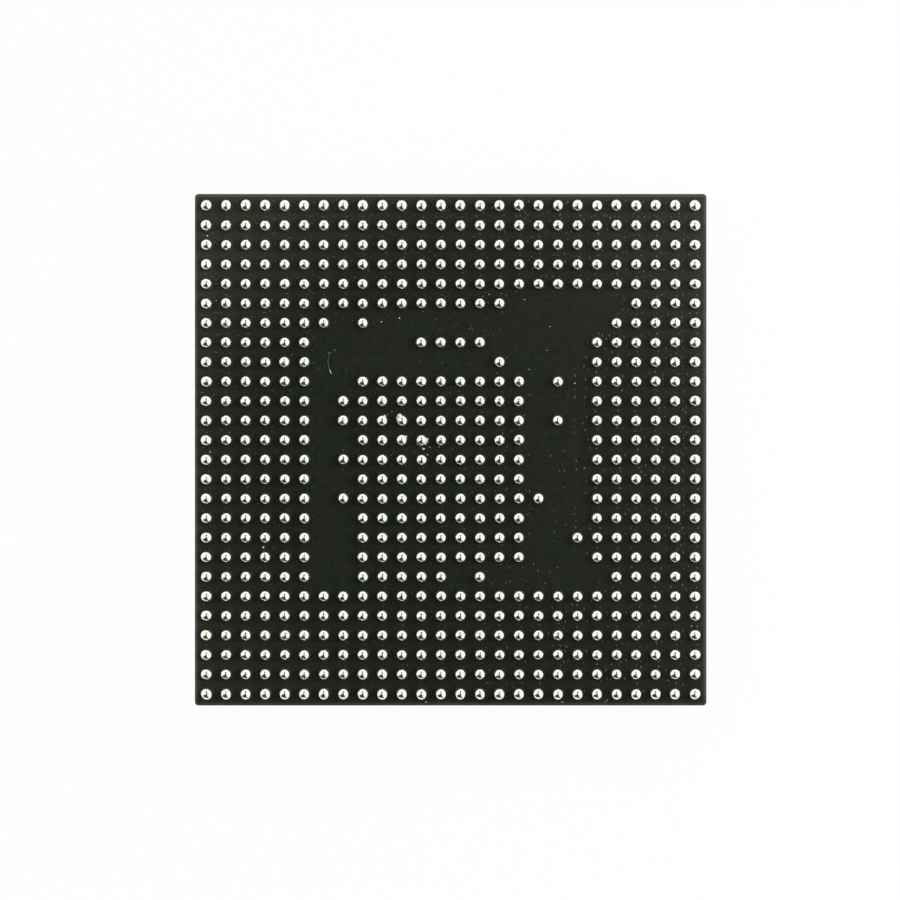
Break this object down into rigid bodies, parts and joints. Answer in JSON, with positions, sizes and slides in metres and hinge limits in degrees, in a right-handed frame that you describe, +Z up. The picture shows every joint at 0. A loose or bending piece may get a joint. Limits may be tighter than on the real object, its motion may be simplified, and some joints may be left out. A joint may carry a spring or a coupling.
{
  "type": "ball grid array chip",
  "caption": "Square over-moulded ball grid array chip: thin laminate with a moulded cap on one face and a grid of solder balls on the other, with an empty moat around a core block.",
  "frame": {"origin": "middle of the package at the lowest face, the face of the moulded cap that it lies on", "axes": "+Z up from the cap to the solder balls, +X and +Y along the sides, row 01 of the balls at +Y"},
  "size_m": [0.021, 0.021, 0.0018],
  "materials": {
    "mould_compound": "matt black moulded epoxy",
    "silicon": "ground silicon",
    "die_attach_film": "cured adhesive film",
    "solder_mask": "dark olive solder mask with a soft gloss",
    "laminate": "cut edge of a glass and resin laminate",
    "solder": "bright reflowed solder"
  },
  "bodies": {
    "root": {"mould_cap": "mould_compound", "silicon_die": "silicon", "die_attach": "die_attach_film", "die_side_mask": "solder_mask", "laminate": "laminate", "ball_side_mask": "solder_mask", "solder_balls_row_01": "solder", "solder_balls_row_02": "solder", "solder_balls_row_03": "solder", "solder_balls_row_04": "solder", "solder_balls_row_05": "solder", "solder_balls_row_06": "solder", "solder_balls_row_07": "solder", "solder_balls_row_08": "solder", "solder_balls_row_09": "solder", "solder_balls_row_10": "solder", "solder_balls_row_11": "solder", "solder_balls_row_12": "solder", "solder_balls_row_13": "solder", "solder_balls_row_14": "solder", "solder_balls_row_15": "solder", "solder_balls_row_16": "solder", "solder_balls_row_17": "solder", "solder_balls_row_18": "solder", "solder_balls_row_19": "solder", "solder_balls_row_20": "solder", "solder_balls_row_21": "solder", "solder_balls_row_22": "solder", "solder_balls_row_23": "solder", "solder_balls_row_24": "solder", "solder_balls_row_25": "solder", "solder_balls_row_26": "solder"}
  },
  "joints": []
}
